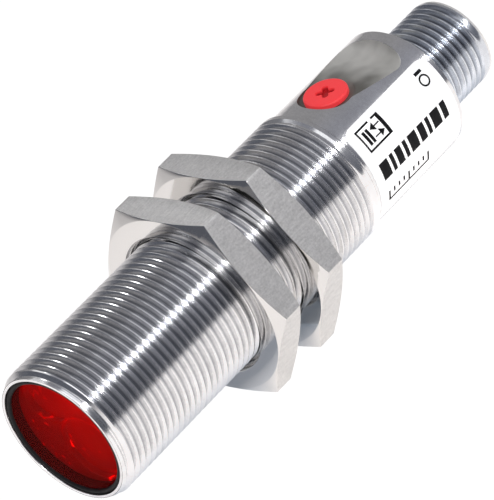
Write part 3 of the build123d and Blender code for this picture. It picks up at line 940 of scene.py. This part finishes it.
def moulded(name, colour, roughness, grain=2500.0, depth=0.004, shift=0.12, metallic=0.0):
    """Moulded plastic, rubber and other plain stuff: a fine grain in colour, sheen and relief."""
    surface = Surface(name, colour, roughness, metallic)
    fine = surface.noise(surface.scaled((grain, grain, grain)), 1.0, 3.0, 0.6)
    broad = surface.noise(surface.scaled((260, 260, 260)), 1.0, 2.0)
    darker = tuple(c * (1 - shift) for c in colour)
    surface.put("Base Color", surface.mix(surface.ramp(broad, 0.3, 0.7, 0.0, 1.0), darker, colour))
    surface.put("Roughness", surface.ramp(fine, 0.3, 0.7, roughness * 0.85, roughness * 1.15))
    surface.bump(fine, 0.3, depth)
    return surface


def filter_glass(name):
    """The red filter: a clear tint with a thin sheen, so that the optics behind it show."""
    surface = Surface(name, (0.30, 0.002, 0.001), 0.05)
    surface.put("Specular IOR Level", 0.10)
    waves = surface.noise(surface.scaled((500, 500, 500)), 1.0, 2.0)
    surface.bump(waves, 0.06, 0.01)
    clear = surface.node("ShaderNodeBsdfTransparent")
    clear.inputs["Color"].default_value = (0.92, 0.035, 0.022, 1.0)
    blender = surface.node("ShaderNodeMixShader")
    output = surface.tree.nodes["Material Output"]
    blender.inputs["Fac"].default_value = 0.12
    surface.wire(clear.outputs[0], blender.inputs[1])
    surface.wire(surface.shader.outputs[0], blender.inputs[2])
    surface.wire(blender.outputs[0], output.inputs["Surface"])
    return surface.material


def painted_glow_behind_filter(surface, low, high):
    """A painted glow behind the red filter: dim at the lower left of the mouth, bright at the upper right,
    with painted glints on the dim side.
    """
    x, _, z = surface.parts(surface.scaled((1000, 1000, 1000)))
    across = surface.maths("ADD", surface.maths("MULTIPLY", x, 0.764), surface.maths("MULTIPLY", z, 0.649))
    patches = surface.noise(surface.scaled((430, 430, 430)), 1.0, 3.0, 0.6)
    glow = surface.ramp(across, -3.0, 7.0, low, high)
    mottled = surface.maths("MULTIPLY", glow, surface.ramp(patches, 0.3, 0.7, 0.6, 1.4))
    # painted glints, kept to the dim side
    sparks = surface.noise(surface.scaled((760, 760, 760)), 1.0, 1.0)
    side = surface.ramp(across, 0.0, 2.5, SPARK_GLOW, 0.0)
    sparkle = surface.maths("MULTIPLY", surface.ramp(sparks, 0.66, 0.72, 0.0, 1.0), side)
    return surface.maths("ADD", mottled, sparkle)


def lens_plastic(name):
    """A clear dome with a painted glow, strongest at its rim."""
    surface = moulded(name, (0.60, 0.40, 0.38), 0.12, 900.0, 0.002, 0.05)
    surface.put("Coat Weight", 0.6)
    facing = surface.node("ShaderNodeNewGeometry").outputs["Normal"]
    slope = surface.maths("ABSOLUTE", surface.parts(facing)["Y"])
    # painted glow, stronger where the dome's surface slopes away at the rim
    rim = surface.ramp(slope, 0.955, 0.985, 1.8, 0.55)
    glow = surface.maths("MULTIPLY", painted_glow_behind_filter(surface, 0.05, 0.12), rim)
    surface.put("Emission Color", (1.0, 0.6, 0.55))
    surface.put("Emission Strength", glow)
    return surface


def holder_plastic(name):
    """Grey plastic with a painted glow, and painted rings of light round the lenses."""
    surface = moulded(name, (0.36, 0.30, 0.29), 0.5, 2200.0, 0.004, 0.15)
    surface.put("Emission Color", (1.0, 0.7, 0.65))
    glow = painted_glow_behind_filter(surface, 0.03, 0.58)
    # painted light: a bright ring on the holder round each lens, with a ring of painted shade outside it
    for node, strength in (("receiver_lens", 1.0), ("emitter_lens", 0.25)):
        low, high = box_mm(node)
        radius = (high.x - low.x) / 2
        apart = surface.distance_mm(((low.x + high.x) / 2, (low.z + high.z) / 2), "XZ")
        inner = surface.ramp(apart, radius, radius + 0.45, 1 + strength, 1 - 0.4 * strength)
        outer = surface.ramp(apart, radius + 0.45, radius + 1.0, 0.0, 0.4 * strength)
        glow = surface.maths("MULTIPLY", glow, surface.maths("ADD", inner, outer))
    surface.put("Emission Strength", glow)
    return surface


def board_material(name):
    """Green solder resist with pale pads and darker tracks under it."""
    surface = Surface(name, (0.02, 0.16, 0.07), 0.35)
    tracks = surface.node("ShaderNodeTexBrick")
    track_settings = (
        ("Scale", 900.0),
        ("Color1", (0.02, 0.18, 0.08, 1)),
        ("Color2", (0.02, 0.14, 0.06, 1)),
        ("Mortar", (0.05, 0.28, 0.13, 1)),
        ("Mortar Size", 0.06),
    )
    for key, value in track_settings:
        tracks.inputs[key].default_value = value
    surface.wire(surface.place, tracks.inputs["Vector"])
    surface.put("Base Color", tracks.outputs["Color"])
    surface.bump(tracks.outputs["Fac"], 0.3, 0.02)
    return surface.material


def knob_plastic(name):
    """Red plastic with a painted glow, and painted shade inside the cross recess."""
    surface = moulded(name, (0.85, 0.035, 0.040), 0.38, 3200.0, 0.004, 0.08)
    surface.put("Emission Color", (0.85, 0.06, 0.07))
    _, _, height = surface.mm()
    # painted shade in the cross recess: a darker colour and less painted glow
    low_down = surface.ramp(height, KNOB_TOP - 0.35, KNOB_TOP - 0.04, 1.0, 0.0)
    near_axis = surface.ramp(surface.distance_mm((0.0, KNOB_Y)), 1.25, 1.45, 1.0, 0.0)
    recess_shade = surface.maths("MULTIPLY", low_down, near_axis)
    surface.put("Emission Strength", surface.blend(recess_shade, 0.42, 0.03))
    plain = surface.current("Base Color")
    surface.put("Base Color", surface.mix(recess_shade, plain, (0.50, 0.008, 0.014)))
    surface.put("Subsurface Weight", 0.15)
    surface.shader.inputs["Subsurface Radius"].default_value = (0.0008, 0.0001, 0.0001)
    return surface.material


def label_film(name):
    """A painted glow keeps it white where it faces the viewer; painted shade greys it towards its outline.
    """
    white = (0.95, 0.95, 0.945)
    surface = moulded(name, white, 0.45, 3000.0, 0.002, 0.02)
    surface.put("Emission Color", (1.0, 1.0, 1.0))
    grazing = surface.node("ShaderNodeLayerWeight").outputs["Facing"]
    # painted glow, fading where the film turns away from the viewer
    surface.put("Emission Strength", surface.ramp(grazing, 0.72, 1.0, 0.32, -0.1))
    # painted shade towards the outline
    outline = surface.ramp(grazing, 0.8, 1.0, 0.0, 1.0)
    surface.put("Base Color", surface.mix(outline, white, (0.5, 0.5, 0.52)))
    return surface.material


def dull(name, colour, grain, depth, shift, sheen):
    """Black stuff with little sheen: the print and the seals."""
    surface = moulded(name, colour, 0.6, grain, depth, shift)
    surface.put("Specular IOR Level", sheen)
    return surface.material


# other finishes inside: name, colour, roughness, grain, depth, shift, metallic, and the nodes that wear it
INSIDE = (
    ("insert_plastic", (0.02, 0.02, 0.022), 0.45, 2400.0, 0.005, 0.2, 0.0, ("contact_carrier",)),
    ("gold_plate", (0.86, 0.62, 0.25), 0.22, 5000.0, 0.002, 0.08, 1.0, ("contact_pins",)),
    (
        "chip_epoxy", (0.03, 0.03, 0.033), 0.5, 4200.0, 0.004, 0.2, 0.0,
        ("signal_chip", "driver_chip", "output_transistor", "resistors"),
    ),
    ("capacitor_ceramic", (0.45, 0.33, 0.2), 0.5, 3800.0, 0.003, 0.15, 0.0, ("capacitors",)),
    ("trimmer_plastic", (0.75, 0.75, 0.7), 0.45, 3000.0, 0.003, 0.08, 0.0, ("trimmer_body",)),
    ("rotor_plastic", (0.8, 0.78, 0.7), 0.4, 3000.0, 0.003, 0.08, 0.0, ("trimmer_rotor",)),
    ("lamp_resin", (0.7, 0.68, 0.62), 0.15, 1500.0, 0.001, 0.05, 0.0, ("emitter_led", "indicator_led")),
    ("diode_resin", (0.05, 0.01, 0.02), 0.15, 1500.0, 0.001, 0.1, 0.0, ("receiver_diode",)),
    ("tinned_wire", (0.7, 0.7, 0.68), 0.3, 4000.0, 0.002, 0.1, 1.0, ("emitter_leads", "receiver_leads")),
    ("wire_sleeve", (0.25, 0.1, 0.05), 0.4, 3000.0, 0.003, 0.15, 0.0, ("plug_leads",)),
    ("cast_resin", (0.06, 0.05, 0.045), 0.25, 700.0, 0.01, 0.2, 0.0, ("potting_disc",)),
)


def paint(target, material):
    target.data.materials.clear()
    target.data.materials.append(material)


def paint_nodes(names, material):
    for name in names:
        paint(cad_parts[name], material)


def paint_outside(barrel, nuts, knob, window, plug, label, ink):
    paint(barrel, barrel_metal("turned_barrel", (0.84, 0.84, 0.85), 0.16).material)
    paint(plug, plug_metal("turned_plug", (0.72, 0.75, 0.80), 0.21).material)
    nut_finish = nut_metal("ground_nut", (0.71, 0.70, 0.69))
    for nut in nuts:
        paint(nut, nut_finish)
    paint(knob, knob_plastic("red_knob"))
    paint(window, filter_glass("red_filter"))
    paint(label, label_film("label_film"))
    paint(ink, dull("print_ink", (0.006, 0.006, 0.008), 3000.0, 0.002, 0.3, 0.15))


def paint_inside():
    rubber = dull("seal_rubber", (0.006, 0.006, 0.007), 2600.0, 0.006, 0.25, 0.25)
    paint_nodes(("window_seal", "knob_seal", "plug_seal", "carrier_seal"), rubber)
    paint_nodes(("optics_carrier", "light_baffle"), holder_plastic("holder_plastic").material)
    paint_nodes(("emitter_lens", "receiver_lens"), lens_plastic("lens_plastic").material)
    paint_nodes(("circuit_board",), board_material("board_resist"))
    for name, colour, roughness, grain, depth, shift, metallic, nodes in INSIDE:
        paint_nodes(nodes, moulded(name, colour, roughness, grain, depth, shift, metallic).material)


# ---------------------------------------------------------------- stage

# the viewpoint: camera place in millimetres, and its right, down and forward directions
CAMERA_PLACE = Vector((322.98, -224.11, 274.15))
CAMERA_RIGHT = Vector((0.73990, 0.59734, -0.30941))
CAMERA_DOWN = Vector((0.16919, -0.61039, -0.77382))
CAMERA_FORWARD = Vector((-0.65109, 0.52020, -0.55269))
CAMERA_LENS = 314.4

# linear colours of the room and the floor
ROOM_LOW = (0.115, 0.122, 0.145)
ROOM_HIGH = (0.29, 0.295, 0.33)
ROOM_LEFT = (0.31, 0.305, 0.31)
FLOOR_COLOUR = (0.94, 0.905, 0.875)
# the floor's glow, with painted dimming in front of and left of the sensor and painted shade under it
FLOOR_GLOW = 0.62
FLOOR_DIM = 0.05
FLOOR_SHADE = 0.68
FLOOR_LEFT_SHARE = 0.25


def camera_sees(surface_tree, for_camera, otherwise):
    """Mixes two shaders: one for what the camera sees directly, one for light and reflections."""
    path = surface_tree.nodes.new("ShaderNodeLightPath")
    chooser = surface_tree.nodes.new("ShaderNodeMixShader")
    surface_tree.links.new(path.outputs["Is Camera Ray"], chooser.inputs["Fac"])
    surface_tree.links.new(otherwise, chooser.inputs[1])
    surface_tree.links.new(for_camera, chooser.inputs[2])
    return chooser.outputs[0]


def build_floor():
    """A plain pale floor under the nuts, lit a little from itself so that its shadows stay soft."""
    level = min(box_mm("front_nut")[0].z, box_mm("rear_nut")[0].z)
    reach = 3000.0
    vertices = [Vector((sx * reach, sy * reach, level)) for sx, sy in ((-1, -1), (1, -1), (1, 1), (-1, 1))]
    floor = make_object("floor", vertices, [(0, 1, 2, 3)])
    surface = Surface("floor_white", FLOOR_COLOUR, 0.7)
    cloud = surface.noise(surface.scaled((4, 4, 4)), 1.0, 2.0)
    darker = tuple(c * 0.98 for c in FLOOR_COLOUR)
    surface.put("Base Color", surface.mix(cloud, darker, FLOOR_COLOUR))
    # painted dimming: the floor's glow falls off a little way in front of the sensor and to its left
    across, along, _ = surface.parts()
    glow_fade_in_front = surface.ramp(along, -0.16, -0.07, FLOOR_DIM, FLOOR_GLOW)
    glow_fade_to_left = surface.ramp(across, -0.10, -0.018, FLOOR_LEFT_SHARE, 1.0)
    glow = surface.maths("MULTIPLY", glow_fade_in_front, glow_fade_to_left)
    # the shade right under the sensor, which the faces of the nuts mirror
    sideways = surface.maths("ABSOLUTE", surface.maths("ADD", across, 0.001))
    beside = surface.ramp(sideways, 0.003, 0.0088, 1.0, 0.0)
    lengthways = surface.maths("ABSOLUTE", surface.maths("ADD", along, -0.037))
    under = surface.maths("MULTIPLY", beside, surface.ramp(lengthways, 0.034, 0.044, 1.0, 0.0))
    unshaded = surface.maths("SUBTRACT", 1.0, surface.maths("MULTIPLY", under, FLOOR_SHADE))
    glow = surface.maths("MULTIPLY", glow, unshaded)
    shade_tint = surface.mix(under, FLOOR_COLOUR, (0.62, 0.78, 1.0))
    surface.put("Emission Color", shade_tint)
    surface.put("Emission Strength", glow)
    seen = surface.node("ShaderNodeEmission")
    seen.inputs["Strength"].default_value = 1.05
    output = surface.tree.nodes["Material Output"]
    whole = camera_sees(surface.tree, seen.outputs[0], surface.shader.outputs[0])
    surface.wire(whole, output.inputs["Surface"])
    paint(floor, surface.material)


def softbox(name, direction, distance, length, width, radiance, middle_y=0.035, spread=180.0):
    """A soft box aimed at a point on the barrel's axis, its length along the barrel; sizes in metres."""
    data = bpy.data.lights.new(name, "AREA")
    data.shape = "RECTANGLE"
    data.size = width
    data.size_y = length
    data.energy = radiance * math.pi * length * width
    if spread < 180:
        # a grid on the box: a narrow spread gathers the light, so less of it is needed
        half = math.radians(spread) / 2
        data.spread = 2 * half
        data.energy *= (math.tan(half) - half) / math.tan(half)
    lamp = add_object(name, data)
    back = Vector(direction).normalized()
    along = (Vector((0, 1, 0)) - back * back.y).normalized()
    across = along.cross(back)
    turn = Matrix((across, along, back)).transposed().to_4x4()
    lamp.matrix_world = Matrix.Translation(Vector((0, middle_y, 0)) + back * distance) @ turn
    lamp.visible_camera = False


def build_world():
    """A dim bluish room, brighter overhead and behind on the left."""
    world = bpy.data.worlds.new("studio")
    bpy.context.scene.world = world
    world.use_nodes = True
    tree = world.node_tree
    background = tree.nodes["Background"]
    place = tree.nodes.new("ShaderNodeTexCoord")

    def towards(direction, low, high):
        """How far the ray points in a direction, mapped from low..high to 0..1."""
        dot = tree.nodes.new("ShaderNodeVectorMath")
        dot.operation = "DOT_PRODUCT"
        tree.links.new(place.outputs["Generated"], dot.inputs[0])
        dot.inputs[1].default_value = Vector(direction).normalized()
        spread = tree.nodes.new("ShaderNodeMapRange")
        spread.interpolation_type = "SMOOTHSTEP"
        tree.links.new(dot.outputs["Value"], spread.inputs["Value"])
        spread.inputs["From Min"].default_value = low
        spread.inputs["From Max"].default_value = high
        return spread.outputs["Result"]

    def blend(factor, first, second):
        mixer = tree.nodes.new("ShaderNodeMix")
        mixer.data_type = "RGBA"
        tree.links.new(factor, mixer.inputs["Factor"])
        for socket, value in ((mixer.inputs["A"], first), (mixer.inputs["B"], second)):
            if isinstance(value, tuple):
                socket.default_value = (*value, 1.0)
            else:
                tree.links.new(value, socket)
        return mixer.outputs["Result"]

    room = blend(towards((0.0, 0.3, 1.0), 0.0, 1.0), ROOM_LOW, ROOM_HIGH)
    room = blend(towards((-0.8, 0.55, 0.45), 0.35, 0.98), room, ROOM_LEFT)
    tree.links.new(room, background.inputs["Color"])
    white = tree.nodes.new("ShaderNodeBackground")
    white.inputs["Strength"].default_value = 1.05
    whole = camera_sees(tree, white.outputs[0], background.outputs[0])
    tree.links.new(whole, tree.nodes["World Output"].inputs["Surface"])


def build_lights():
    # a long strip parallel to the barrel draws the streak along it
    softbox("strip", (0.633, 0.0, 0.774), 0.6, 1.7, 0.016, 24.0)
    # a small box at the back left puts one dash on each ridge ahead of the nuts
    softbox("left_box", (-0.534, 0.52, 0.667), 0.15, 0.044, 0.026, 11.0, 0.003, 17.0)
    softbox("upper_card", (-0.65, -0.2, 0.73), 0.6, 0.3, 0.3, 0.7)
    # seen by the lead-in cone at the mouth and by the rounded edges of the ridges
    softbox("top_card", (0.35, -0.36, 0.86), 0.6, 0.4, 0.5, 0.9)
    softbox("front_box", (0.35, -0.75, 0.55), 0.9, 0.5, 0.5, 0.4)


def build_camera():
    data = bpy.data.cameras.new("camera")
    data.lens = CAMERA_LENS
    data.sensor_width = 36.0
    data.clip_start = 0.01
    data.clip_end = 20.0
    camera = add_object("camera", data)
    turn = Matrix((CAMERA_RIGHT, -CAMERA_DOWN, -CAMERA_FORWARD)).transposed().to_4x4()
    camera.matrix_world = Matrix.Translation(CAMERA_PLACE * MM) @ turn
    bpy.context.scene.camera = camera


# ---------------------------------------------------------------- build

barrel = build_barrel()
nuts = [
    build_nut("front_nut", "front_nut_body"),
    build_nut("rear_nut", "rear_nut_body"),
]
knob = build_knob()
window = build_window()
plug = build_plug()
label, ink = build_label()
paint_outside(barrel, nuts, knob, window, plug, label, ink)
paint_inside()
build_floor()
build_world()
build_lights()
build_camera()
bpy.context.scene.view_settings.view_transform = "Standard"
